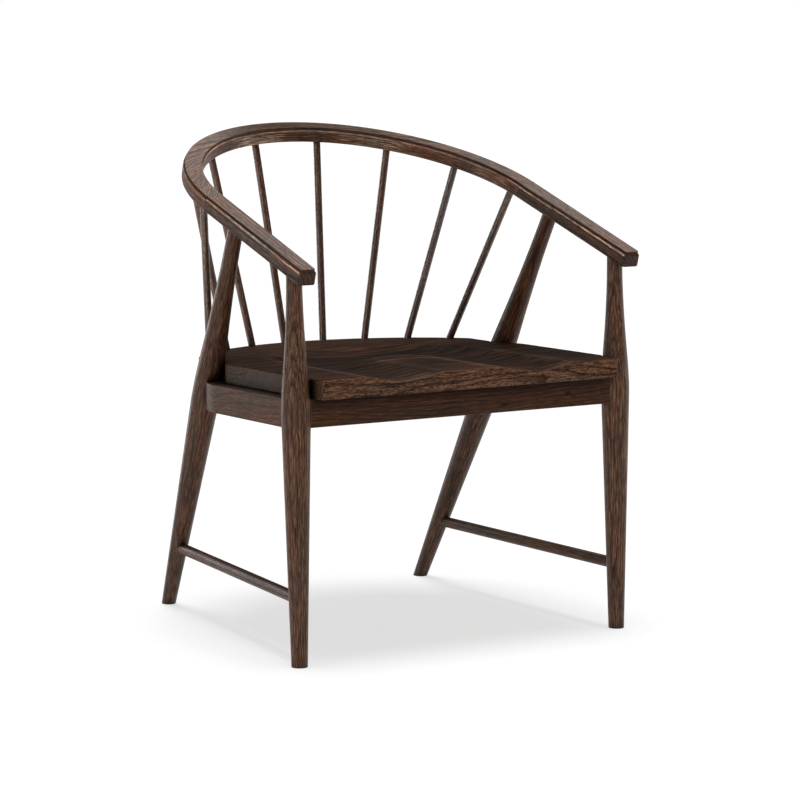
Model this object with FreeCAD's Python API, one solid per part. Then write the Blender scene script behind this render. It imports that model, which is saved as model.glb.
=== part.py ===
import FreeCAD, Part
import math
import os

from FreeCAD import Placement, Rotation, Vector

# A barrel back spindle chair. Lengths are in millimetres and angles in degrees.
# +Z is up, the chair faces -Y, and the origin is on the floor under the middle of the chair.

# Legs: where they stand, their turned profile and their tenons in the arms
front_foot_x = 300.5
rear_foot_x = 253.0
feet_depth = 561.0
front_rake = 1.3
rear_top_reach = 210.0
front_foot_radius = 13.0
rear_foot_radius = 12.0
leg_belly_radius = 23.2
leg_top_radius = 12.7
front_belly_height = 388.0
rear_belly_height = 418.0
belly_handle = 0.25
top_handle = 0.5
leg_tenon_radius = 8.5
leg_tenon_length = 17.0

# Bow: arms and crest lie in one plane that rises to the rear
bow_height = 641.5
bow_tilt = 16.5
arm_x = 299.9
arm_overhang = 39.5
arm_end_width = 30.6
spring_reach = 292.0
back_depth = 328.0
bow_width = 33.8
bow_field_width = 28.4
bow_thickness = 26.4
cove_depth = 5.6
cove_hollow = 0.9
bead_width = 0.8
bow_arris = 3.0
field_corner = 2.4
dowel_radius = 4.0
dowel_length = 50.0
dowel_spacing = 13.0

# Spindles: angles between neighbours at the crest and at the seat, and how deep they go in
spindle_pairs = 4
spindle_radius = 6.3
spindle_top_step = 23.6
spindle_root_step = 13.6
spindle_root_circle = 319.0
spindle_root_centre = 250.0
spindle_in_seat = 18.0
spindle_in_bow = 14.0

# Seat plank, measured from its front edge along its own tilted top
seat_height = 457.0
seat_tilt = 1.4
seat_nose = 34.5
seat_thickness = 31.5
seat_nose_x = 277.0
seat_side_x = 286.5
seat_rear_x = 266.0
seat_bend_start = 296.5
seat_bend_radius = 60.0
seat_rear_margin = 12.0
seat_corner_radius = 5.0
seat_arris = 2.0
notch_clearance = 2.5

# Hollows in the seat: two thigh hollows round a tongue of the flat top, and a wall behind
hollow_depth = 11.0
hollow_x = 132.0
hollow_outer_x = 193.0
hollow_roundness = 0.3
pommel_x = 50.0
pommel_length = 216.0
hollow_rear = 447.0
hollow_rear_slope = 75.0
hollow_rear_radius = 300.0
hollow_grid = 48

# Rails of the seat frame and their tenons in the legs
rail_height = 46.0
rail_thickness = 27.0
side_rail_thickness = 35.0
rear_rail_thickness = 22.0
rail_arris = 2.0
side_rail_bend = 110.0
side_rail_lead = 32.0
rail_tenon_width = 10.0
rail_tenon_height = 30.0
rail_tenon_stop = 8.0

# Stretchers and their tenons in the legs
stretcher_height = 108.0
stretcher_radius = 9.4
stretcher_tenon_radius = 6.5
stretcher_tenon_stop = 4.0

# Corner blocks, their bolts and the seat's screws
block_leg = 62.0
block_cut = 14.0
block_height = 32.0
bolt_radius = 2.5
bolt_head_radius = 6.0
bolt_head_height = 4.0
bolt_in_leg = 10.0
screw_radius = 2.2
screw_head_radius = 4.5
screw_head_height = 3.0
screw_in_seat = 14.0
block_screw_inset = 12.0
block_screw_reach = 36.0
rear_screw_x = 120.0
counterbore_depth = 12.0
recess_radius = 1.8
recess_depth = 1.5

# Clearance between a pin and its hole, all round
hole_clearance = 0.1

UP = Vector(0, 0, 1)


# Frames: the bow's tilted plane and the seat's tilted plane
def middle_of_depth():
    tilt = math.radians(bow_tilt)
    foremost = -arm_overhang * math.cos(tilt)
    rearmost = (spring_reach + back_depth + bow_width / 2) * math.cos(tilt) + bow_thickness * math.sin(tilt)
    return (foremost + rearmost) / 2


front_y = -middle_of_depth()
bow_frame = Placement(Vector(0, front_y, bow_height), Rotation(Vector(1, 0, 0), bow_tilt))
seat_frame = Placement(Vector(0, front_y - seat_nose, seat_height), Rotation(Vector(1, 0, 0), -seat_tilt))


def placed(shape, frame):
    shape.Placement = frame.multiply(shape.Placement)
    return shape


def mirrored(shape):
    return shape.mirror(Vector(), Vector(1, 0, 0))


def rod(start, end, radius):
    return Part.makeCylinder(radius, (end - start).Length, start, end - start)


def beyond(start, end, distance):
    """The point past end, seen from start."""
    return end + (end - start).normalize() * distance


def fused(first, others):
    return first.multiFuse(others).removeSplitter()


# Legs: each axis runs from the foot to the underside of its arm
def leg_axis(place):
    if place == "rear":
        foot = Vector(rear_foot_x, front_y + feet_depth, 0)
        return foot, bow_frame.multVec(Vector(arm_x, rear_top_reach, -bow_thickness))
    foot = Vector(front_foot_x, front_y, 0)
    lean = Vector((arm_x - front_foot_x) / bow_height, math.tan(math.radians(front_rake)), 1)
    normal = bow_frame.Rotation.multVec(UP)
    underside = bow_frame.multVec(Vector(0, 0, -bow_thickness))
    return foot, foot + lean * ((underside - foot).dot(normal) / lean.dot(normal))


def leg_in_seat(place, depth):
    """Where the leg's axis crosses a plane under the seat's top, in the seat's frame."""
    inverse = seat_frame.inverse()
    foot, top = [inverse.multVec(point) for point in leg_axis(place)]
    return foot + (top - foot) * ((-depth - foot.z) / (top.z - foot.z))


def leg_outline(length, foot_radius, belly_height, grown):
    spare = leg_belly_radius
    rise = length - belly_height
    slope = (leg_belly_radius - foot_radius) / belly_height
    start = Vector(foot_radius - slope * spare + grown, 0, -spare)
    belly = Vector(leg_belly_radius + grown, 0, belly_height)
    top = Vector(leg_top_radius + grown, 0, length)
    crown = top + UP * spare
    curve = Part.BezierCurve()
    curve.setPoles([belly, belly + Vector(slope, 0, 1) * (belly_handle * rise), top - UP * (top_handle * rise), top])
    axis_low = Vector(0, 0, start.z)
    axis_high = Vector(0, 0, crown.z)
    lines = [(axis_low, start), (start, belly), (top, crown), (crown, axis_high), (axis_high, axis_low)]
    return Part.Face(Part.Wire(Part.__sortEdges__([curve.toShape()] + [Part.makeLine(*ends) for ends in lines])))


def leg_blank(place, grown=0.0):
    foot, top = leg_axis(place)
    foot_radius = rear_foot_radius if place == "rear" else front_foot_radius
    belly_height = rear_belly_height if place == "rear" else front_belly_height
    blank = leg_outline((top - foot).Length, foot_radius, belly_height, grown).revolve(Vector(), UP, 360)
    return placed(blank, Placement(foot, Rotation(UP, top - foot)))


def space_above(frame):
    reach = 4 * (feet_depth + front_foot_x + bow_height)
    return placed(Part.makeBox(reach, reach, reach, Vector(-reach / 2, -reach / 2, 0)), frame)


def leg_body(place):
    under_bow = bow_frame.multiply(Placement(Vector(0, 0, -bow_thickness), Rotation()))
    return leg_blank(place).common(space_above(Placement())).cut(space_above(under_bow))


def leg_tenon(place, clearance=0.0):
    foot, top = leg_axis(place)
    start = beyond(foot, top, -leg_tenon_length)
    return rod(start, beyond(foot, top, leg_tenon_length + clearance), leg_tenon_radius + clearance)


# Bow: one moulded section on straight arms and a half ellipse
def cove_edges():
    """The moulding along a top edge, from the top field out to the side."""
    top_edge = Vector(bow_field_width / 2, 0, 0)
    cove_end = Vector(bow_width / 2 - bead_width, 0, -cove_depth)
    middle = (top_edge + cove_end) / 2 - Vector(cove_hollow, 0, 0)
    bead_end = Vector(bow_width / 2, 0, -cove_depth - bead_width)
    return [Part.Arc(top_edge, middle, cove_end).toShape(), Part.makeLine(cove_end, bead_end)]


def bow_section():
    half = bow_width / 2
    corner = bow_arris * (1 - math.sqrt(0.5))
    side_end = Vector(half, 0, bow_arris - bow_thickness)
    arris = Vector(half - corner, 0, corner - bow_thickness)
    under_edge = Vector(half - bow_arris, 0, -bow_thickness)
    right = cove_edges() + [
        Part.makeLine(Vector(), Vector(bow_field_width / 2, 0, 0)),
        Part.makeLine(Vector(half, 0, -cove_depth - bead_width), side_end),
        Part.Arc(side_end, arris, under_edge).toShape(),
        Part.makeLine(under_edge, Vector(0, 0, -bow_thickness)),
    ]
    return Part.Wire(Part.__sortEdges__(right + [mirrored(edge) for edge in right]))


def swept(path, section):
    sweep = Part.BRepOffsetAPI.MakePipeShell(path)
    sweep.setBiNormalMode(UP)
    sweep.add(section)
    sweep.build()
    sweep.makeSolid()
    return sweep.shape()


def arm_block():
    """The arm's plan as a square-edged block with rounded front corners, run on past its joint."""
    half = bow_width / 2
    run_on = bow_width
    taper = (bow_width - arm_end_width) / (spring_reach + arm_overhang)
    rear = spring_reach + run_on
    plan = [(half, rear), (half, -arm_overhang), (half - arm_end_width, -arm_overhang), (-half - taper * run_on, rear)]
    points = [Vector(x, y, 0) for x, y in plan]
    block = Part.Face(Part.makePolygon(points + points[:1])).extrude(UP * -bow_thickness)
    corners = [edge for edge in block.Edges if edge.BoundBox.YMax < 0 and edge.BoundBox.ZLength > bow_arris]
    return block.makeFillet(field_corner + (bow_width - bow_field_width) / 2, corners)


def open_edges(face):
    """The edges of a face of the arm that don't lie at its joint."""
    return [edge for edge in face.OuterWire.Edges if edge.BoundBox.YMin < spring_reach]


def arm_moulding(edges):
    """The wood that the moulding takes away along the arm's top edges."""
    spare = cove_depth
    field = Vector(bow_field_width / 2, 0, 0)
    bead_end = Vector(bow_width / 2, 0, -cove_depth - bead_width)
    outside = [bead_end, bead_end + Vector(spare, 0, -spare), bead_end + Vector(spare, 0, 3 * spare),
               field + UP * (2 * spare - bead_width), field]
    section = Part.Wire(Part.__sortEdges__(cove_edges() + Part.makePolygon(outside).Edges))
    section.translate(Vector(0, spring_reach + bow_width, 0))
    return swept(Part.Wire(Part.__sortEdges__(edges)), section)


def arm_bar():
    block = arm_block()
    levels = sorted(block.Faces, key=lambda face: face.CenterOfMass.z)
    moulding = arm_moulding(open_edges(levels[-1]))
    bar = block.makeFillet(bow_arris, open_edges(levels[0])).cut(moulding)
    joint = Placement(Vector(0, spring_reach, 0), Rotation(UP, Vector(0, 1, 0)))
    bar = bar.cut(space_above(joint))
    bar.translate(Vector(arm_x, 0, 0))
    return placed(bar, bow_frame)


def crest_bar():
    poles = [(arm_x, 0), (arm_x, back_depth), (0, back_depth), (-arm_x, back_depth), (-arm_x, 0)]
    weights = [1, math.sqrt(0.5), 1, math.sqrt(0.5), 1]
    curve = Part.BSplineCurve()
    points = [Vector(x, spring_reach + y, 0) for x, y in poles]
    curve.buildFromPolesMultsKnots(points, [3, 2, 3], [0, 1, 2], False, 2, weights)
    section = bow_section()
    section.translate(Vector(arm_x, spring_reach, 0))
    return placed(swept(Part.Wire(curve.toShape()), section), bow_frame)


def dowels(clearance=0.0):
    depth = (cove_depth + bow_thickness) / 2
    reach = dowel_length / 2
    pins = []
    for offset in (-dowel_spacing / 2, dowel_spacing / 2):
        start = Vector(arm_x + offset, spring_reach - reach - clearance, -depth)
        end = Vector(arm_x + offset, spring_reach + reach + clearance, -depth)
        pins.append(placed(rod(start, end, dowel_radius + clearance), bow_frame))
    return pins


# Spindles fan out from a circle on the seat to even steps round the crest
def spindle_ends(number):
    step = number - spindle_pairs + 0.5
    top_angle = math.radians(spindle_top_step * step)
    root_angle = math.radians(spindle_root_step * step)
    top = Vector(arm_x * math.sin(top_angle), spring_reach + back_depth * math.cos(top_angle), -bow_thickness)
    circle = spindle_root_circle
    root = Vector(circle * math.sin(root_angle), spindle_root_centre + circle * math.cos(root_angle), 0)
    return seat_frame.multVec(root), bow_frame.multVec(top)


def spindle(number, clearance=0.0):
    root, top = spindle_ends(number)
    start = beyond(top, root, spindle_in_seat)
    return rod(start, beyond(root, top, spindle_in_bow), spindle_radius + clearance)


# Seat: a plank with its legs' notches, its hollows and its holes
def hollow(x, v):
    """Depth of the hollows at a point of the seat's top. It is negative where the top stays flat."""
    rim = hollow_rear - x * x / (2 * hollow_rear_radius)
    from_tongue = math.hypot(x, max(0.0, v - pommel_length))
    outer = max(0.0, (abs(x) - hollow_x) / (hollow_outer_x - hollow_x))
    inner = max(0.0, (hollow_x - from_tongue) / (hollow_x - pommel_x))
    rear = max(0.0, 1 - (rim - v) / hollow_rear_slope)
    lowest = hollow_roundness
    rise = math.hypot(math.hypot(outer, inner), math.hypot(rear, lowest)) - lowest
    return hollow_depth * (1 - rise / (math.hypot(1, lowest) - lowest))


def seat_carver():
    """The space over the hollows, whose floor rises out of the seat at their rims."""
    margin = seat_thickness
    width = 2 * (hollow_outer_x + margin)
    length = hollow_rear + 2 * margin
    steps = [i / hollow_grid for i in range(hollow_grid + 1)]
    rows = []
    for across in steps:
        x = (across - 0.5) * width
        column = [along * length - margin for along in steps]
        rows.append([Vector(x, v, -hollow(x, v)) for v in column])
    surface = Part.BSplineSurface()
    surface.interpolate(rows)
    return surface.toShape().extrude(UP * 2 * seat_thickness)


def side_bend():
    """The double bend that draws the plank's side in beside the rear leg."""
    turn = math.acos(1 - (seat_side_x - seat_rear_x) / (2 * seat_bend_radius))
    reach = 2 * seat_bend_radius * math.sin(turn)
    middle = Vector((seat_side_x + seat_rear_x) / 2, seat_bend_start + reach / 2, 0)
    curves = []
    for side, x, v in ((1, seat_side_x, seat_bend_start), (-1, seat_rear_x, seat_bend_start + reach)):
        bulge = side * seat_bend_radius
        half_way = Vector(x - bulge * (1 - math.cos(turn / 2)), v + bulge * math.sin(turn / 2), 0)
        curves.append(Part.Arc(Vector(x, v, 0), half_way, middle).toShape())
    return curves


def seat_outline():
    front = leg_in_seat("front", seat_thickness / 2).y
    radius = spindle_root_circle + seat_rear_margin
    turn = spindle_root_centre + math.sqrt(radius ** 2 - seat_rear_x ** 2)
    bend = side_bend()
    ahead = [(0, 0), (seat_nose_x, 0), (seat_nose_x, front), (seat_side_x, front)]
    right = Part.makePolygon([Vector(x, v, 0) for x, v in ahead] + [bend[0].Vertexes[0].Point]).Edges
    corner = Vector(seat_rear_x, turn, 0)
    right += bend + [Part.makeLine(bend[1].Vertexes[0].Point, corner)]
    back = Part.Arc(corner, Vector(0, spindle_root_centre + radius, 0), Vector(-corner.x, corner.y, 0)).toShape()
    return Part.Wire(Part.__sortEdges__(right + [back] + [mirrored(edge) for edge in right]))


def seat_plank():
    base = Part.Face(seat_outline())
    plank = base.extrude(UP * -seat_thickness).removeSplitter()
    notches = [leg_in_seat(place, seat_thickness / 2).y for place in ("front", "rear")]
    plank = plank.makeFillet(seat_corner_radius, [edge for edge in plank.Edges if is_corner(edge, notches)])
    levels = sorted(plank.Faces, key=lambda face: face.CenterOfMass.z)
    rims = levels[0].OuterWire.Edges + levels[-1].OuterWire.Edges
    plank = plank.makeFillet(seat_arris, [edge for edge in rims if is_rim(edge)])
    return placed(plank.cut(seat_carver()), seat_frame)


def is_corner(edge, notches):
    """An upright edge of the plank that isn't beside a leg."""
    box = edge.BoundBox
    return box.ZLength > seat_thickness / 2 and not notches[0] - seat_arris < box.YMin < notches[1] + seat_arris


def is_rim(edge):
    """An edge of the plank's top or underside that isn't a step beside a leg."""
    box = edge.BoundBox
    return box.YLength > seat_arris or box.YMax < seat_arris


def seat():
    plank = seat_plank()
    for place in ("front", "rear"):
        notch = leg_blank(place, notch_clearance)
        plank = plank.cut(notch).cut(mirrored(notch))
    holes = [spindle(number, hole_clearance) for number in range(2 * spindle_pairs)]
    return plank.cut(Part.makeCompound(holes + seat_screws(hole_clearance)))


# Rails of the seat frame, in the seat's frame, tenoned into the legs
def rail_middle():
    return seat_thickness + rail_height / 2


def tenon(near, far, angle, place, clearance):
    """A tenon along its rail, from near to far before the leg's axis."""
    wide = rail_tenon_width + 2 * clearance
    tall = rail_tenon_height + 2 * clearance
    block = Part.makeBox(wide, near - far + clearance, tall, Vector(-wide / 2, -near, -tall / 2))
    centre = leg_in_seat(place, rail_middle())
    return placed(placed(block, Placement(centre, Rotation(UP, angle))), seat_frame)


def bend_angle():
    shift = leg_in_seat("front", rail_middle()).x - leg_in_seat("rear", rail_middle()).x
    return math.degrees(math.acos(1 - shift / side_rail_bend))


def rail_tenons(clearance=0.0):
    near = 2 * leg_belly_radius
    far = rail_tenon_stop
    return {
        "front": tenon(near, far, -90, "front", clearance),
        "side_front": tenon(near, far, 180, "front", clearance),
        "side_rear": tenon(near, far, 0, "rear", clearance),
        "rear": tenon(near, far, -90, "rear", clearance),
    }


def rail_section(thickness):
    """A rail's section with rounded arrises, hung from its middle on top."""
    block = Part.makeBox(thickness, rail_thickness, rail_height, Vector(-thickness / 2, 0, -rail_height))
    arrises = [edge for edge in block.Edges if abs(edge.tangentAt(edge.FirstParameter).y) > 0.5]
    block = block.makeFillet(rail_arris, arrises)
    return min(block.Faces, key=lambda face: face.CenterOfMass.y).OuterWire


def straight_rail(place, thickness):
    centre = leg_in_seat(place, rail_middle())
    rail = Part.Face(rail_section(thickness)).extrude(Vector(0, 2 * centre.x, 0))
    across = Placement(Vector(-centre.x, centre.y, -seat_thickness), Rotation(UP, -90))
    return placed(placed(rail, across), seat_frame)


def side_rail_extra():
    """How much further in than the front rail's thickness the side rail reaches, to carry the plank."""
    return side_rail_thickness - rail_thickness


def side_rail_blank():
    """The side rail runs straight back from the front leg, and bends in towards the rear leg."""
    front = leg_in_seat("front", rail_middle())
    angle = math.radians(bend_angle())
    bend_y = leg_in_seat("rear", rail_middle()).y - side_rail_lead - side_rail_bend * math.sin(angle)
    turns = [Vector(math.cos(turn), math.sin(turn), 0) for turn in (0, angle / 2, angle)]
    centre = Vector(front.x - side_rail_bend, bend_y, -seat_thickness)
    bend = [centre + turn * side_rail_bend for turn in turns]
    start = Vector(front.x, front.y, -seat_thickness)
    end = bend[2] + Vector(-math.sin(angle), math.cos(angle), 0) * (side_rail_lead * math.cos(angle))
    path = Part.Wire([Part.makeLine(start, bend[0]), Part.Arc(*bend).toShape(), Part.makeLine(bend[2], end)])
    section = rail_section(side_rail_thickness)
    section.translate(start - Vector(side_rail_extra() / 2, 0, 0))
    return placed(swept(path, section), seat_frame)


def side_rail():
    tenons = rail_tenons()
    body = side_rail_blank().cut(leg_blank("front")).cut(leg_blank("rear"))
    body = body.cut(straight_rail("front", rail_thickness)).cut(straight_rail("rear", rear_rail_thickness))
    body = body.cut(corner_bolt(hole_clearance))
    return fused(body, [tenons["side_front"].common(grown_leg("front")), tenons["side_rear"].common(grown_leg("rear"))])


def grown_leg(place):
    return leg_blank(place, rail_tenon_stop / 2)


def cross_rail(place, thickness, key):
    body = straight_rail(place, thickness)
    leg = leg_blank(place)
    body = body.cut(leg).cut(mirrored(leg))
    end = rail_tenons()[key].common(grown_leg(place))
    return fused(body, [end, mirrored(end)])


# Stretchers between the front and the rear leg of each side
def leg_at_height(place, height):
    foot, top = leg_axis(place)
    return foot + (top - foot) * (height / top.z)


def stretcher_line():
    return leg_at_height("front", stretcher_height), leg_at_height("rear", stretcher_height)


def stretcher_tenon(clearance=0.0):
    front, rear = stretcher_line()
    stop = stretcher_tenon_stop - clearance
    return rod(beyond(rear, front, -stop), beyond(front, rear, -stop), stretcher_tenon_radius + clearance)


def stretcher():
    bar = rod(*stretcher_line(), stretcher_radius).cut(leg_blank("front")).cut(leg_blank("rear"))
    return fused(bar, [stretcher_tenon()])


# Corner block, with a bolt into its leg and a screw up into the seat
def block_corner():
    axis = leg_in_seat("front", rail_middle())
    half = rail_thickness / 2
    return Vector(axis.x - half - side_rail_extra(), axis.y + half, -seat_thickness)


def block_body():
    steps = [(0, block_cut), (0, block_leg), (-block_leg, 0), (-block_cut, 0)]
    points = [block_corner() + Vector(x, y, 0) for x, y in steps]
    face = Part.Face(Part.makePolygon(points + points[:1]))
    return placed(face.extrude(UP * -block_height), seat_frame)


def headed_pin(start, direction, length, radius, head_radius, head_height, clearance):
    """A bolt or screw: start is the seat of its head, and the shank runs along direction."""
    direction = Vector(direction).normalize()
    shank = rod(start, start + direction * (length + clearance), radius + clearance)
    if clearance:
        return shank
    head = rod(start - direction * head_height, start, head_radius)
    recess = rod(start - direction * head_height, start - direction * (head_height - recess_depth), recess_radius)
    return fused(head.cut(recess), [shank])


def corner_bolt(clearance=0.0):
    shift = side_rail_extra() / 2
    start = block_corner() + Vector(shift - block_leg / 2, shift + block_leg / 2, -block_height / 2)
    axis = leg_in_seat("front", seat_thickness + block_height / 2)
    length = (axis - start).Length - leg_belly_radius + bolt_in_leg
    pin = headed_pin(start, axis - start, length, bolt_radius, bolt_head_radius, bolt_head_height, clearance)
    return placed(pin, seat_frame)


def seat_screw(start, clearance):
    length = -start.z - seat_thickness + screw_in_seat
    pin = headed_pin(start, UP, length, screw_radius, screw_head_radius, screw_head_height, clearance)
    return placed(pin, seat_frame)


def rear_screw_seat():
    rail = leg_in_seat("rear", rail_middle())
    return Vector(rear_screw_x, rail.y, -seat_thickness - rail_height + counterbore_depth)


def seat_screws(clearance=0.0):
    block_seat = block_corner() + Vector(-block_screw_inset, block_screw_reach, -block_height)
    right = [seat_screw(block_seat, clearance), seat_screw(rear_screw_seat(), clearance)]
    return right + [mirrored(pin) for pin in right]


def counterbore():
    start = rear_screw_seat()
    return placed(rod(start, start - UP * 2 * counterbore_depth, screw_head_radius + hole_clearance), seat_frame)


# Finished pieces of the right-hand side, and those that cross the middle
def front_leg():
    tenons = rail_tenons(hole_clearance)
    cuts = [tenons["front"], tenons["side_front"], stretcher_tenon(hole_clearance), corner_bolt(hole_clearance)]
    return fused(leg_body("front"), [leg_tenon("front")]).cut(Part.makeCompound(cuts))


def rear_leg():
    tenons = rail_tenons(hole_clearance)
    cuts = [tenons["rear"], tenons["side_rear"], stretcher_tenon(hole_clearance)]
    return fused(leg_body("rear"), [leg_tenon("rear")]).cut(Part.makeCompound(cuts))


def arm():
    cuts = [leg_tenon(place, hole_clearance) for place in ("front", "rear")]
    return arm_bar().cut(Part.makeCompound(cuts + dowels(hole_clearance)))


def crest():
    sockets = dowels(hole_clearance)
    holes = [spindle(number, hole_clearance) for number in range(2 * spindle_pairs)]
    return crest_bar().cut(Part.makeCompound(holes + sockets + [mirrored(pin) for pin in sockets]))


def corner_block():
    return block_body().cut(corner_bolt(hole_clearance)).cut(Part.makeCompound(seat_screws(hole_clearance)))


def rear_rail():
    bores = Part.makeCompound([counterbore(), mirrored(counterbore())] + seat_screws(hole_clearance))
    return cross_rail("rear", rear_rail_thickness, "rear").cut(bores)


def export(name, shape):
    shape.exportStep("parts/" + name + ".step")


def main():
    os.makedirs("parts", exist_ok=True)
    pairs = {
        "front_{}_leg": front_leg(),
        "rear_{}_leg": rear_leg(),
        "{}_arm": arm(),
        "{}_side_rail": side_rail(),
        "{}_stretcher": stretcher(),
        "{}_corner_block": corner_block(),
    }
    for name, shape in pairs.items():
        export(name.format("right"), shape)
        export(name.format("left"), mirrored(shape))
    export("crest_rail", crest())
    export("seat", seat())
    export("front_rail", cross_rail("front", rail_thickness, "front"))
    export("rear_rail", rear_rail())
    for number in range(2 * spindle_pairs):
        export("spindle_{}".format(number + 1), spindle(number))
    export("corner_bolts", Part.makeCompound([corner_bolt(), mirrored(corner_bolt())]))
    export("seat_screws", Part.makeCompound(seat_screws()))
    export("arm_dowels", Part.makeCompound(dowels() + [mirrored(pin) for pin in dowels()]))


main()
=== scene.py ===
# %% [markdown]
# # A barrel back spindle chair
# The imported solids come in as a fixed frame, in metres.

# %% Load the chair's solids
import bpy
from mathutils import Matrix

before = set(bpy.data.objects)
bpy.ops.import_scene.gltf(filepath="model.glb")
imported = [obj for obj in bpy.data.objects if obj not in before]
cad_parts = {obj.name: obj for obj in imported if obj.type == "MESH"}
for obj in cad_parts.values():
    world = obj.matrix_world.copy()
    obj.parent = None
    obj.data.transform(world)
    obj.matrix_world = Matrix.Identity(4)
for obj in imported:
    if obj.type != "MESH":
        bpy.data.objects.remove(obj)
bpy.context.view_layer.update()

# %% [markdown]
# The camera stands in front of the chair, on the left arm's side and a little higher than the bow. It is
# far back with a long lens, so that the legs stay almost parallel. Its place and angles were found by
# matching feet, arm ends and rails with the photograph.

# %% Camera
import math

import bpy
from mathutils import Vector

scene = bpy.context.scene
eye = Vector((-2.6738, -4.6581, 1.1042))
turn_right = math.radians(30.339)
look_down = math.radians(7.794)
camera = bpy.data.objects.new("camera", bpy.data.cameras.new("camera"))
camera.data.sensor_width = 36.0
camera.data.lens = 144.95
camera.location = eye
camera.rotation_euler = (math.pi / 2 - look_down, 0, -turn_right)
scene.collection.objects.link(camera)
scene.camera = camera
print("camera", tuple(round(v, 3) for v in eye))

# %% [markdown]
# Every finish below is a small graph of shader nodes. The first helper adds a node, sets what is a plain
# value and links what comes from another node, so that a finish reads like a recipe.

# %% A helper for shader nodes
def put(tree, kind, sockets=None, **settings):
    made = tree.nodes.new("ShaderNode" + kind)
    for name, value in settings.items():
        setattr(made, name, value)
    for name, value in (sockets or {}).items():
        if isinstance(value, bpy.types.NodeSocket):
            tree.links.new(value, made.inputs[name])
        else:
            made.inputs[name].default_value = value
    return made


def new_finish(name):
    finish = bpy.data.materials.new(name)
    finish.use_nodes = True
    finish.node_tree.nodes.clear()
    return finish, finish.node_tree


print("helper ready")

# %% [markdown]
# Sums on numbers and on vectors come up all the time, so they get short names. So do a vector's three
# parts, the place of a point on its piece, the way that its surface faces, and a value moved to a new range.

# %% Short names for common nodes
def number(tree, operation, *parts):
    return put(tree, "Math", dict(enumerate(parts)), operation=operation).outputs[0]


def vector(tree, operation, *parts):
    return put(tree, "VectorMath", dict(enumerate(parts)), operation=operation).outputs["Vector"]


def magnitude(tree, arrow):
    return put(tree, "VectorMath", {0: arrow}, operation="LENGTH").outputs["Value"]


def split(tree, arrow):
    return put(tree, "SeparateXYZ", {"Vector": arrow}).outputs


def joined(tree, **axes):
    return put(tree, "CombineXYZ", axes).outputs["Vector"]


def place_of(tree):
    return put(tree, "TexCoord").outputs["Object"]


def facing(tree):
    return put(tree, "NewGeometry").outputs["Normal"]


def between(tree, value, low, high, start=0.0, end=1.0):
    """Runs from start to end while the value runs from low to high."""
    return put(tree, "MapRange", {"Value": value, 1: low, 2: high, 3: start, 4: end}).outputs[0]


print("short names ready")

# %% [markdown]
# The chair stands on white paper in a white room. Real paper in a studio is lit until it has no tone of
# its own, so this floor glows a little. What is left to the light from above draws the soft shade under
# the seat. The camera sees the room pure white, but it lights the chair only weakly, and more from above.

# %% Floor and room
white = (1, 1, 1, 1)
paper_grey, paper_glow, paper_size = (0.47, 0.47, 0.47, 1), 0.66, 60
paper, tree = new_finish("white_paper")
surface = put(tree, "BsdfPrincipled", {"Base Color": paper_grey, "Roughness": 0.9,
                                       "Emission Color": white, "Emission Strength": paper_glow})
put(tree, "OutputMaterial", {"Surface": surface.outputs[0]})
bpy.ops.mesh.primitive_plane_add(size=paper_size)
floor = bpy.context.object
floor.name = "floor"
floor.data.materials.append(paper)

low_sky, high_sky = 0.15, 0.8
low_glow, high_glow = 0.03, 0.33
room = bpy.data.worlds.new("white_room")
room.use_nodes = True
tree = room.node_tree
tree.nodes.clear()
seen = put(tree, "Background", {"Color": white, "Strength": 1.0})
height = split(tree, put(tree, "TexCoord").outputs["Generated"])["Z"]
glow = between(tree, height, low_sky, high_sky, low_glow, high_glow)
lit = put(tree, "Background", {"Color": white, "Strength": glow})
by_camera = put(tree, "LightPath").outputs["Is Camera Ray"]
both = put(tree, "MixShader", {0: by_camera, 1: lit.outputs[0], 2: seen.outputs[0]})
put(tree, "OutputWorld", {"Surface": both.outputs[0]})
scene.world = room
scene.view_settings.view_transform = "Standard"
print("floor and room")

# %% [markdown]
# A softbox on the left and one in front light the faces that the camera sees. Three more stand behind and
# to the right, well outside the picture: round legs mirror them along their edges as thin pale lines, and
# the tilted bow mirrors the high one as a sheen. Flags keep all five off the paper, so the shade on it
# comes from a soft lamp of its own straight above, while a wider one, a little to the right, lights the
# chair from overhead. Flags also keep the high softbox off the seat, which has no sheen, and the one behind
# on the left off the bow, whose flat sides would mirror all of it. Of the five, only that one and the one on
# the left reach the spindles, whose right sides stay dark.

# %% Lights
def flag(lamp, things, state):
    flags = bpy.data.collections.new(lamp.name + "_flags")
    for thing in things:
        flags.objects.link(thing)
    for entry in flags.collection_objects:
        entry.light_linking.link_state = state
    lamp.light_linking.receiver_collection = flags
    scene.collection.objects.link(lamp)


def softbox(name, place, aim, keep_off, width, height, watts):
    lamp = bpy.data.lights.new(name, "AREA")
    lamp.shape = "RECTANGLE"
    lamp.size = width
    lamp.size_y = height
    lamp.energy = watts
    box = bpy.data.objects.new(name, lamp)
    box.location = place
    box.rotation_euler = (Vector(aim) - Vector(place)).to_track_quat("-Z", "Y").to_euler()
    flag(box, keep_off, "EXCLUDE")


def overhead(name, tilt, spread, strength, state):
    lamp = bpy.data.lights.new(name, "SUN")
    lamp.energy = strength
    lamp.angle = math.radians(spread)
    sun = bpy.data.objects.new(name, lamp)
    sun.rotation_euler = (0, math.radians(tilt), 0)
    flag(sun, [floor], state)


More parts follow.
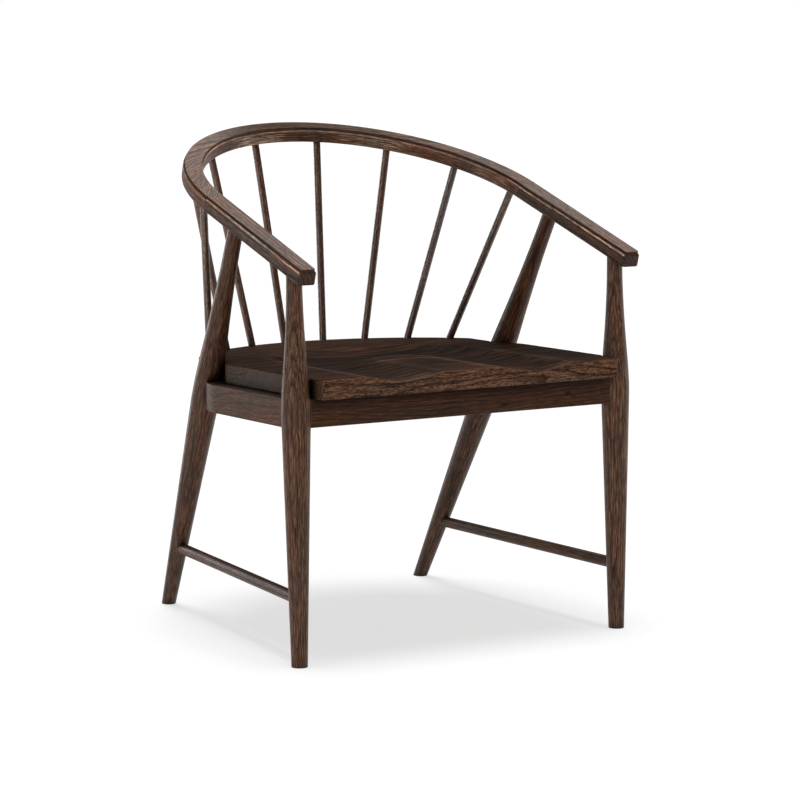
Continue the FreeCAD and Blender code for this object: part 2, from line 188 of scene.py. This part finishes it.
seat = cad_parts["seat"]
bow = [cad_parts[piece] for piece in ("left_arm", "right_arm", "crest_rail")]
spindle_names = [f"spindle_{count}" for count in range(1, 9)]
spindles = [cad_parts[piece] for piece in spindle_names]
chair_middle, bow_middle = (0, 0, 0.45), (0, 0.2, 0.7)
softbox("left_softbox", (-3.2, -0.6, 1.2), chair_middle, [floor],
        width=2.0, height=1.6, watts=26)
softbox("front_softbox", (-0.4, -4.0, 2.2), chair_middle, [floor, *spindles],
        width=2.4, height=1.2, watts=27)
softbox("rim_softbox", (-1.2, 3.6, 1.0), chair_middle, [floor, *bow],
        width=1.2, height=1.8, watts=36)
softbox("right_softbox", (3.4, -0.4, 1.0), chair_middle, [floor, *spindles],
        width=1.0, height=1.8, watts=18)
softbox("high_softbox", (1.9, 2.5, 2.8), bow_middle, [floor, seat, *spindles],
        width=2.0, height=1.6, watts=13)
overhead("chair_overhead", tilt=14, spread=50, strength=1.8, state="EXCLUDE")
overhead("floor_overhead", tilt=0, spread=26, strength=1.8, state="INCLUDE")

# %% [markdown]
# Wood looks right when its pattern runs through the whole piece, as it does through a plank. So the pattern
# is made in space, not on the surface: each piece turns the coordinates until Z runs along its grain, and
# sets itself off to one side of the tree's heart.

# %% The space inside the tree
def tree_space(tree, along, through, from_heart, slide):
    turn = Vector(along).rotation_difference((0, 0, 1))
    shift = Vector((*from_heart, slide)) - turn @ Vector(through)
    mapping = put(tree, "Mapping", {"Vector": place_of(tree), "Rotation": turn.to_euler(), "Location": shift})
    return mapping.outputs["Vector"]


def drawn_out(tree, space, along):
    """The same space, pressed along the grain, so that a pattern in it comes out long."""
    return put(tree, "Mapping", {"Vector": space, "Scale": (1, 1, along)}).outputs["Vector"]


print("tree space ready")

# %% [markdown]
# A year's growth is a porous ring that drinks the stain and a dense one that stays pale. A wave texture in
# rings gives the years, and two noises bend them: a slow one for the tree's own shape, a quick one for the
# fibres. At scale 1 the wave texture's rings are 0.314 m apart, so the scale follows from the year's width.

# %% Growth rings
ring_distance = 0.314


def wandering(tree, space, along, size, reach):
    noise = put(tree, "TexNoise", {"Vector": drawn_out(tree, space, along), "Scale": 1 / size, "Detail": 2.0})
    centred = vector(tree, "SUBTRACT", noise.outputs["Color"], (0.5, 0.5, 0.5))
    return vector(tree, "MULTIPLY_ADD", centred, (reach, reach, 0), space)


def growth_rings(tree, space, year, wander):
    bent = wandering(tree, space, along=0.25, size=0.09, reach=0.05 * wander)
    bent = wandering(tree, bent, along=0.12, size=0.014, reach=0.006 * wander)
    rings = put(tree, "TexWave", {"Vector": bent, "Scale": ring_distance / year}, wave_type="RINGS",
                rings_direction="Z", wave_profile="SAW")
    return rings.outputs["Fac"]


print("growth rings ready")

# %% [markdown]
# Between the rings lie fibres, streaks a few millimetres wide and a hand long, and pores, fine dark dashes
# that the wire brush has opened. Both are noise pressed along the grain.

# %% Fibres and pores
def streaks(tree, space, along, size, detail):
    return put(tree, "TexNoise", {"Vector": drawn_out(tree, space, along), "Scale": 1 / size,
                                  "Detail": detail, "Roughness": 0.65}).outputs["Fac"]


def sum_of(tree, *parts):
    """Adds values, each with its share."""
    total = 0.0
    for value, share in parts:
        total = number(tree, "MULTIPLY_ADD", value, share, total)
    return total


print("fibres ready")

# %% [markdown]
# The figure is what the eye reads as wood: years, fibres and pores added up, from 0 in an open pore to 1 on
# dense wood. A plank that is sawn flat shows the same tree with wider bands, so the sizes are left open.

# %% The figure of the wood
porous_part = 0.35
fibre_share, pore_share = 0.42, 0.58


def figure(tree, space, year=0.0045, fibre=0.002, years=0.24, wander=1.0, length=1.0, contrast=1.0):
    dense = between(tree, growth_rings(tree, space, year, wander), 0.0, porous_part)
    fibres = streaks(tree, space, along=0.06 / length, size=1.8 * fibre, detail=4.0)
    fibres = between(tree, fibres, 0.34, 0.66)
    pores = streaks(tree, space, along=0.26 / length, size=fibre, detail=2.0)
    pores = between(tree, pores, 0.38, 0.62)
    rest = 1 - years
    shade = sum_of(tree, (dense, years), (fibres, fibre_share * rest), (pores, pore_share * rest))
    return between(tree, shade, 0.0, 1.0, 0.5 - contrast / 2, 0.5 + contrast / 2)


print("figure ready")

# %% [markdown]
# The stain is a dark brown with a red cast. A colour ramp takes the figure from nearly black pores to the
# pale dense wood, and a slow noise warms some zones and greys others, as no two boards take a stain alike.

# %% The stain
stain_steps = ((0.06, (0.0075, 0.0032, 0.0018)), (0.36, (0.030, 0.0145, 0.0085)),
               (0.66, (0.074, 0.038, 0.0225)), (0.95, (0.19, 0.108, 0.064)))
warm, grey = (1.28, 0.97, 0.80), (0.80, 0.90, 0.95)


def ramp(tree, value, steps):
    made = put(tree, "ValToRGB", {"Fac": value})
    stops = made.color_ramp.elements
    stops[0].position, stops[1].position = steps[0][0], steps[-1][0]
    for position, _ in steps[1:-1]:
        stops.new(position)
    for stop, (_, colour) in zip(stops, steps):
        stop.color = (*colour, 1)
    return made.outputs["Color"]


def times(tree, colour, tint):
    return vector(tree, "MULTIPLY", colour, tint)


def scaled(tree, colour, share):
    return put(tree, "VectorMath", {0: colour, "Scale": share}, operation="SCALE").outputs["Vector"]


def tinted(tree, colour, where, tint):
    """The colour as it is where the value is 0, and times the tint where that is 1."""
    return times(tree, colour, ramp(tree, where, ((0.0, (1, 1, 1)), (1.0, tint))))


def stain(tree, shade, space, tone):
    steps = [(position, [part * tone for part in colour]) for position, colour in stain_steps]
    zones = between(tree, streaks(tree, space, along=0.15, size=0.04, detail=2.0), 0.3, 0.7)
    cast = ramp(tree, zones, ((0.0, warm), (1.0, grey)))
    return times(tree, ramp(tree, shade, steps), cast)


print("stain ready")

# %% [markdown]
# Two marks follow the shape by themselves. Tight corners get painted shade: ambient occlusion finds them
# and darkens the colour there. The arrises are rubbed pale by hands and cloth, and the same pale line also
# stands in as a painted highlight; the angle between a rounded normal and the true one finds them.

# %% Painted shade in corners, and worn arrises with a painted highlight
# The pale of the arrises: wear and a painted highlight together.
pale_wear_and_highlight = (0.20, 0.15, 0.115, 1)


def product(tree, *parts):
    total = parts[0]
    for part in parts[1:]:
        total = number(tree, "MULTIPLY", total, part)
    return total


def mixed(tree, where, colour, other):
    """The colour where the value is 0, and the other one where that is 1."""
    return put(tree, "Mix", {0: where, 6: colour, 7: other}, data_type="RGBA").outputs[2]


# Painted shade: darkens the colour where ambient occlusion finds a tight corner.
def painted_corner_shade(tree, colour, reach, tight, wide, darkest):
    open_sky = put(tree, "AmbientOcclusion", {"Distance": reach}, samples=8).outputs["AO"]
    return scaled(tree, colour, between(tree, open_sky, tight, wide, darkest, 1.0))


def arrises(tree, radius, flat, sharp):
    rounded = put(tree, "Bevel", {"Radius": radius}, samples=6).outputs[0]
    same = put(tree, "VectorMath", {0: rounded, 1: facing(tree)}, operation="DOT_PRODUCT").outputs["Value"]
    return between(tree, same, flat, sharp)


def worn_with_painted_highlight(tree, colour, wear, radius=0.003, flat=0.995, sharp=0.95):
    return mixed(tree, product(tree, arrises(tree, radius, flat, sharp), wear), colour, pale_wear_and_highlight)


print("wear ready")

# %% [markdown]
# The last coat is a thin satin oil. Dense wood shines a little more than an open pore, and the wire brush
# has left the pores lower than the rest, so the same figure drives the roughness and the bump.

# %% Oiled wood
rougher_pores, smoother_wood, rougher_matt = 0.12, 0.06, 0.4
bump_strength, bump_height = 0.35, 0.0006


def oil(tree, colour, shade, gloss, shine, matt=None):
    roughness = between(tree, shade, 0.0, 1.0, gloss + rougher_pores, gloss - smoother_wood)
    if matt:
        roughness = sum_of(tree, (roughness, 1.0), (matt, rougher_matt))
    bump = put(tree, "Bump", {"Height": shade, "Strength": bump_strength, "Distance": bump_height})
    surface = put(tree, "BsdfPrincipled", {"Base Color": colour, "Roughness": roughness,
                                           "Normal": bump.outputs[0], "Specular IOR Level": shine})
    put(tree, "OutputMaterial", {"Surface": surface.outputs[0]})


def stained_wood(name, along, through, from_heart, slide, tone, gloss=0.34, shine=0.16, **sizes):
    finish, tree = new_finish(name)
    space = tree_space(tree, along, through, from_heart, slide)
    shade = figure(tree, space, **sizes)
    colour = stain(tree, shade, space, tone)
    # Painted shade in tight corners.
    colour = painted_corner_shade(tree, colour, reach=0.018, tight=0.3, wide=0.85, darkest=0.2)
    # Arrises made paler: wear and a painted highlight.
    colour = worn_with_painted_highlight(tree, colour, wear=0.2)
    oil(tree, colour, shade, gloss, shine)
    return finish


def dress(piece, finish):
    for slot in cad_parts[piece].material_slots:
        slot.material = finish


print("wood ready")

# %% [markdown]
# Grain runs along a piece, because wood is strong that way. Each long piece's direction is measured between
# the middles of its two ends. The legs and stretchers are turned from straight, even stuff, so their grain
# is fine and hardly wanders. A slide along the tree gives each piece wood of its own.

# %% Legs, stretchers, spindles, blocks and dowels
import numpy as np

along_chair, upright = 1, 2
end_part = 0.2
long_step, spindle_step, short_step = 0.83, 0.61, 0.47
turned_heart, spindle_heart, block_heart = (0.03, 0.035), (0.05, 0.02), (0.04, 0.03)
straight = dict(fibre=0.001, wander=0.4)
turned_pieces = (("front_{}_leg", upright, dict(tone=1.1, shine=0.16, length=6.0, contrast=1.1)),
                 ("rear_{}_leg", upright, dict(tone=0.95, shine=0.16, length=7.0, contrast=0.95)),
                 ("{}_stretcher", along_chair, dict(tone=0.9, shine=0.1, length=6.0, contrast=0.85)))


def middle_line(piece, axis):
    """Direction and middle of a long piece, from the middles of its two ends."""
    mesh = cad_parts[piece].data
    points = np.empty(len(mesh.vertices) * 3)
    mesh.vertices.foreach_get("co", points)
    points = points.reshape(-1, 3)
    level = points[:, axis]
    end = end_part * (level.max() - level.min())
    ends = [points[level < level.min() + end].mean(0), points[level > level.max() - end].mean(0)]
    return Vector(ends[1] - ends[0]).normalized(), Vector((ends[0] + ends[1]) / 2)


slide = 0.0
for side in ("left", "right"):
    for pattern, axis, look in turned_pieces:
        piece = pattern.format(side)
        slide += long_step
        dress(piece, stained_wood(piece + "_wood", *middle_line(piece, axis), turned_heart, slide,
                                  **look, **straight))
for piece in spindle_names:
    slide += spindle_step
    dress(piece, stained_wood(piece + "_wood", *middle_line(piece, upright), spindle_heart, slide,
                              tone=1.6, gloss=0.24, shine=0.7))
for side in ("left", "right"):
    slide += short_step
    dress(f"{side}_corner_block", stained_wood(side + "_block_wood", (1, 0, 0), (0, 0, 0.4), block_heart,
                                               slide, tone=1.5))
dress("arm_dowels", stained_wood("dowel_wood", (0, 1, 0), (0, 0, 0.7), block_heart, 0.0, tone=3.0))
print("last slide along the tree:", round(slide, 2))

# %% [markdown]
# The rails are planed from calmer boards: long even lines, a soft swirl and here and there a small dark knot.
# The plank overhangs them in front, so their upper edge lies in its shade: a wide occlusion paints that
# shade in as a darker colour.

# %% Rails under the seat
plank_heart = (0.12, 0.05)
side_rail_tone, cross_rail_tone = 1.08, 0.85
knot_size, knot_dark = 0.014, 0.45


def rail_wood(name, along, through, slide, tone):
    finish, tree = new_finish(name)
    space = tree_space(tree, along, through, plank_heart, slide)
    shade = figure(tree, space, year=0.006, fibre=0.0013, years=0.35, wander=0.8, length=4.0, contrast=0.62)
    knots = streaks(tree, space, along=0.5, size=knot_size, detail=1.0)
    knots = between(tree, knots, 0.66, 0.74, 1.0, knot_dark)
    colour = scaled(tree, stain(tree, shade, space, tone), knots)
    # Painted shade under the plank's overhang and in the rails' corners.
    colour = painted_corner_shade(tree, colour, reach=0.06, tight=0.5, wide=0.85, darkest=0.12)
    # Arrises made paler: wear and a painted highlight.
    colour = worn_with_painted_highlight(tree, colour, wear=0.15)
    oil(tree, colour, shade, gloss=0.4, shine=0.06)
    return finish


for side in ("left", "right"):
    piece = f"{side}_side_rail"
    slide += long_step
    dress(piece, rail_wood(side + "_rail_wood", *middle_line(piece, along_chair), slide, side_rail_tone))
for end, level in (("front", -0.28), ("rear", 0.05)):
    slide += short_step
    dress(end + "_rail", rail_wood(end + "_rail_wood", (1, 0, 0), (0, level, 0.4), slide, cross_rail_tone))
print("rails dressed")

# %% [markdown]
# The bow is sawn in one tilted plane, so its pattern is made in that plane's own axes: across, back and up.
# An arm's grain runs straight back. The crest is cut from boards that turn with it, but less than it does,
# so on its top the grain lies on wide arcs and crosses the bow at the corners. On its sides the layers of the
# same boards show as lines that follow the bow.

# %% Grain of the bow
bow_tilt = math.radians(16.5)
arm_top = Vector((0, -0.29015, 0.6415))
arc_centre, arc_radius = 0.12, 0.5
joint_reach = 0.292
crest_half_width, crest_reach = 0.2999, 0.328


def bow_axes(tree):
    turned = put(tree, "VectorRotate", {"Vector": place_of(tree), "Center": arm_top, "Angle": -bow_tilt},
                 rotation_type="X_AXIS")
    return split(tree, vector(tree, "SUBTRACT", turned.outputs[0], arm_top))


def straight_grain(tree, axes):
    return joined(tree, X=axes["X"], Y=axes["Z"], Z=axes["Y"])


def arched_grain(tree, axes):
    """Out from the middle of the wide arcs, up, and along them."""
    back = number(tree, "SUBTRACT", axes["Y"], arc_centre)
    out = magnitude(tree, joined(tree, X=axes["X"], Y=back))
    turn = number(tree, "ARCTAN2", axes["X"], back)
    return joined(tree, X=out, Y=axes["Z"], Z=number(tree, "MULTIPLY", turn, arc_radius))


def following_grain(tree, axes):
    """Out from the crest's half ellipse, up, and round it."""
    level = joined(tree, X=axes["X"], Y=axes["Y"])
    from_middle = vector(tree, "SUBTRACT", level, (0, joint_reach, 0))
    circle = vector(tree, "DIVIDE", from_middle, (crest_half_width, crest_reach, 1))
    parts = split(tree, circle)
    turn = number(tree, "ARCTAN2", parts["X"], parts["Y"])
    round_it = joined(tree, X=magnitude(tree, circle), Z=turn)
    return vector(tree, "MULTIPLY_ADD", round_it, (crest_reach,) * 3, joined(tree, Y=axes["Z"]))


print("bow tilted by", round(math.degrees(bow_tilt), 1), "degrees")

# %% [markdown]
# The bow's flat top is painted paler as a sheen, the narrow cove beside it is painted dark as shade, and the
# bead under the cove gets a painted highlight. All three lie at fixed depths below the tilted top, so one
# ramp over the depth draws them. A thin dark line marks the joint between arm and crest.

# %% Painted sheen, shade and highlight bands of the bow
bow_thickness = 0.0264
bow_gloss, bow_shine = 0.4, 0.16
painted_sheen_top, painted_cove_shade = (1.45, 1.6, 1.75), (0.52, 0.42, 0.36)
joint_core, joint_edge, joint_dark = 0.0004, 0.0014, 0.3


def below_top(tree, axes):
    """0 on the bow's top, and 1 at its underside."""
    return between(tree, axes["Z"], 0.0, -bow_thickness)


def shaded(colour, share):
    return [share * part for part in colour]


# Painted bands by depth: sheen on the top, shade in the cove, a highlight on the bead, then the side's own
# tone, darker towards the underside.
def moulding(bead_highlight, side_face):
    return ((0.0, painted_sheen_top), (0.006, painted_sheen_top), (0.02, painted_cove_shade), (0.17, painted_cove_shade), (0.2, bead_highlight), (0.26, bead_highlight),
            (0.31, side_face), (1.0, shaded(side_face, 0.83)))


def joint_line(tree, colour, axes):
    off_joint = number(tree, "ABSOLUTE", number(tree, "SUBTRACT", axes["Y"], joint_reach))
    return scaled(tree, colour, between(tree, off_joint, joint_core, joint_edge, joint_dark, 1.0))


print("bands ready")

# %% [markdown]
# The arms' end grain drinks more stain than the sides, so the faces that look forward are dark up to the
# top's edge; there the painted sheen is weaker and the bead gets no painted highlight.

# %% Arms
arm_bead_highlight, arm_side = (4.6, 6.2, 8.0), (0.74, 0.72, 0.70)


def end_grain(side_face):
    dark = shaded(side_face, 0.62)
    return ((0.0, shaded(painted_sheen_top, 0.75)), (0.03, painted_cove_shade), (0.12, painted_cove_shade), (0.18, dark), (1.0, dark))


def arm_wood(name, to_heart, slide):
    finish, tree = new_finish(name)
    axes = bow_axes(tree)
    depth = below_top(tree, axes)
    space = vector(tree, "ADD", straight_grain(tree, axes), (*to_heart, slide))
    shade = figure(tree, space, year=0.007, years=0.42, wander=0.25, length=2.5)
    forward = between(tree, split(tree, facing(tree))["Y"], -0.35, -0.6)
    # Painted sheen, cove shade and bead highlight by depth.
    painted_bands = ramp(tree, depth, moulding(arm_bead_highlight, arm_side))
    painted_bands = mixed(tree, forward, painted_bands, ramp(tree, depth, end_grain(arm_side)))
    colour = times(tree, stain(tree, shade, space, tone=1.0), painted_bands)
    oil(tree, joint_line(tree, colour, axes), shade, bow_gloss, bow_shine)
    return finish


for side, to_heart in (("left", (0.38, 0.05)), ("right", (-0.22, 0.05))):
    slide += long_step
    dress(f"{side}_arm", arm_wood(side + "_arm_wood", to_heart, slide))
print("arms dressed")

# %% [markdown]
# The painted sheen on the crest's top is weaker in its middle, which is also more matt. On its sides three
# places get painted glints: pale streaks that stand in for reflections. Both lists go by the distance along
# the wide arcs: the sheen in shares of one metre, the glints by middle, reach and strength.

# %% Crest
crest_bead_highlight, crest_side = (2.9, 3.6, 4.4), (1.15, 1.08, 1.02)
crest_sheen_fade = ((0.0, (1, 1, 1)), (0.33, (1, 1, 1)), (0.40, (0.68, 0.68, 0.68)), (0.44, (0.54, 0.53, 0.52)),
               (0.66, (0.62, 0.61, 0.60)), (0.71, (0.8, 0.8, 0.8)), (1.0, (0.94, 0.94, 0.94)))
crest_glints = ((-0.076, 0.072, 1.0), (0.164, 0.08, 0.65), (0.42, 0.07, 0.45))
glint_tint = (4.6, 5.9, 7.4)


def near(tree, run, places):
    """Each place's strength beside it along the piece, and 0 beyond its reach."""
    total = 0.0
    for middle, reach, strength in places:
        off = number(tree, "ABSOLUTE", number(tree, "SUBTRACT", run, middle))
        total = number(tree, "MAXIMUM", total, between(tree, off, reach, 0.4 * reach, 0.0, strength))
    return total


def crest_wood(name, to_heart, slide):
    finish, tree = new_finish(name)
    axes = bow_axes(tree)
    depth = below_top(tree, axes)
    lie = arched_grain(tree, axes)
    run = split(tree, lie)["Z"]
    space = vector(tree, "ADD", lie, (*to_heart, slide))
    sides = vector(tree, "ADD", following_grain(tree, axes), (-crest_reach, 0.15, slide))
    arcs = figure(tree, space, year=0.004, years=0.5, wander=0.3, length=1.5)
    layers = figure(tree, sides, year=0.004, fibre=0.0015, years=0.4, wander=0.4, length=3.0)
    shade = put(tree, "Mix", {0: between(tree, depth, 0.0, 0.1), 2: arcs, 3: layers}).outputs[0]
    painted_bands = ramp(tree, depth, moulding(crest_bead_highlight, crest_side))
    colour = times(tree, stain(tree, shade, space, tone=1.0), painted_bands)
    # Painted sheen on the top, weaker towards the crest's middle.
    along = ramp(tree, between(tree, run, -0.5, 0.5), crest_sheen_fade)
    on_top = between(tree, depth, 0.02, 0.0)
    colour = times(tree, colour, mixed(tree, on_top, white, along))
    matt = product(tree, on_top, between(tree, along, 1.0, 0.5))
    # Painted glints: pale streaks on the crest's sides that stand in for reflections.
    glint_streaks = between(tree, streaks(tree, sides, along=0.12, size=0.006, detail=3.0), 0.36, 0.6)
    below_bead = between(tree, depth, 0.3, 0.36)
    colour = tinted(tree, colour, product(tree, glint_streaks, near(tree, run, crest_glints), below_bead), glint_tint)
    oil(tree, joint_line(tree, colour, axes), shade, bow_gloss, bow_shine, matt)
    return finish


dress("crest_rail", crest_wood("crest_wood", (0.045 - arc_radius, 0.045), slide + short_step))
print("crest dressed")

# %% [markdown]
# The crests between the seat's flat top and its hollows get a painted highlight, most of all round the tip
# of the tongue between the thighs and along its right side. They are shallow, so their finder is set keener
# than the arrises'. It also finds the plank's own edges, so it is kept off those.

# %% Painted highlights on the seat's crests
tongue_tip, tongue_radius = -0.1586, 0.05
crest_highlight_across = ((0.0, (1, 1, 1)), (0.25, (1, 1, 1)), (0.34, (0.3, 0.3, 0.3)), (0.45, (0.3, 0.3, 0.3)),
              (0.5, (0.9, 0.9, 0.9)), (0.66, (0.9, 0.9, 0.9)), (0.8, (0.3, 0.3, 0.3)))


def tongue_edge(tree, place):
    """1 along the edge of the tongue's tip and right side, and 0 from 26 mm away."""
    behind_tip = number(tree, "MAXIMUM", number(tree, "SUBTRACT", place["Y"], tongue_tip), 0.0)
    out = magnitude(tree, joined(tree, X=place["X"], Y=behind_tip))
    off_edge = number(tree, "ABSOLUTE", number(tree, "SUBTRACT", out, tongue_radius))
    at_tip = between(tree, place["Y"], -0.165, -0.135)
    on_right = between(tree, place["X"], 0.0, 0.03)
    return product(tree, between(tree, off_edge, 0.026, 0.002), number(tree, "MAXIMUM", at_tip, on_right))


def hollow_crests(tree, place):
    """Up to 1 along the hollows' crests, less towards the front and the rear, and 0 at the plank's sides."""
    off_middle = number(tree, "ABSOLUTE", place["X"])
    off_sides = between(tree, off_middle, 0.205, 0.214, 1.0, 0.0)
    off_front = between(tree, place["Y"], -0.335, -0.29)
    off_rear = between(tree, place["Y"], -0.07, 0.0, 1.0, 0.15)
    across = ramp(tree, between(tree, place["X"], -0.2, 0.2), crest_highlight_across)
    found = arrises(tree, radius=0.022, flat=0.9998, sharp=0.992)
    return product(tree, found, off_sides, off_front, off_rear, across)


print("rubbed crests ready")

# %% [markdown]
# The seat is the darkest piece: a flat-sawn plank with wide bands on its top. The top is painted in shade,
# darker than the edges, and painted light makes it paler along the front and the rear. Its edges show finer
# lines, and the two that look sideways are end grain, darker and cooler.

# %% Seat
seat_painted_light = ((0.0, (1.9, 1.88, 1.86)), (0.25, (0.86, 0.84, 0.82)), (0.62, (0.7, 0.64, 0.58)),
              (0.8, (1.7, 1.6, 1.5)))
seat_tone, edge_lift_over_shaded_top, seat_slide = 0.32, 2.95, 7.7
edge_up, top_up = 0.5, 0.9
side_tint, tongue_highlight = (0.56, 0.70, 0.82), (2.5, 2.55, 2.6)
crest_highlight = (0.21, 0.168, 0.137, 1)


def seat_wood(name):
    finish, tree = new_finish(name)
    space = tree_space(tree, (1, 0, 0), (0, 0, 0.44), plank_heart, seat_slide)
    normal, place = split(tree, facing(tree)), split(tree, place_of(tree))
    fine = figure(tree, space, year=0.005, fibre=0.0013, years=0.35, length=1.4, contrast=1.3)
    broad = figure(tree, space, year=0.02, fibre=0.007, years=0.35, wander=0.7, length=2.8, contrast=1.3)
    broad_share = between(tree, normal["Z"], edge_up, top_up, 0.1, 0.75)
    shade = put(tree, "Mix", {0: broad_share, 2: fine, 3: broad}).outputs[0]
    colour = stain(tree, shade, space, seat_tone)
    # Painted shade: the top is darker than the edges.
    colour = scaled(tree, colour, between(tree, normal["Z"], edge_up, top_up, edge_lift_over_shaded_top, 1.0))
    sideways = between(tree, number(tree, "ABSOLUTE", normal["X"]), 0.6, 0.9)
    colour = tinted(tree, colour, sideways, side_tint)
    # Painted shade in tight corners.
    colour = painted_corner_shade(tree, colour, reach=0.02, tight=0.3, wide=0.85, darkest=0.2)
    # Arrises made paler: wear and a painted highlight.
    colour = worn_with_painted_highlight(tree, colour, wear=0.2, radius=0.0025, flat=0.98, sharp=0.85)
    on_top = between(tree, normal["Z"], 0.8, 0.95)
    # Painted light: the top paler towards the front and the rear.
    painted_light_fade = ramp(tree, between(tree, place["Y"], -0.35, 0.28), seat_painted_light)
    colour = times(tree, colour, mixed(tree, on_top, white, painted_light_fade))
    uneven = between(tree, streaks(tree, space, along=0.5, size=0.025, detail=2.0), 0.35, 0.6, 0.35, 1.0)
    # Painted highlights round the tongue and along the hollows' crests.
    colour = tinted(tree, colour, product(tree, tongue_edge(tree, place), on_top, uneven), tongue_highlight)
    colour = mixed(tree, product(tree, hollow_crests(tree, place), on_top, uneven), colour, crest_highlight)
    oil(tree, colour, shade, gloss=0.5, shine=0.06)
    return finish


dress("seat", seat_wood("seat_wood"))
print("seat dressed")

# %% [markdown]
# The bolts and screws under the seat are zinc-plated steel: a pale grey metal, a little mottled where it was
# handled.

# %% Plated steel
zinc, mottle_scale = (0.55, 0.54, 0.52, 1), 400.0
steel, tree = new_finish("plated_steel")
mottle = put(tree, "TexNoise", {"Vector": place_of(tree), "Scale": mottle_scale, "Detail": 3.0})
roughness = between(tree, mottle.outputs["Fac"], 0.3, 0.7, 0.28, 0.5)
surface = put(tree, "BsdfPrincipled", {"Base Color": zinc, "Metallic": 1.0, "Roughness": roughness})
put(tree, "OutputMaterial", {"Surface": surface.outputs[0]})
for piece in ("corner_bolts", "seat_screws"):
    dress(piece, steel)
print("steel on", steel.users, "pieces")
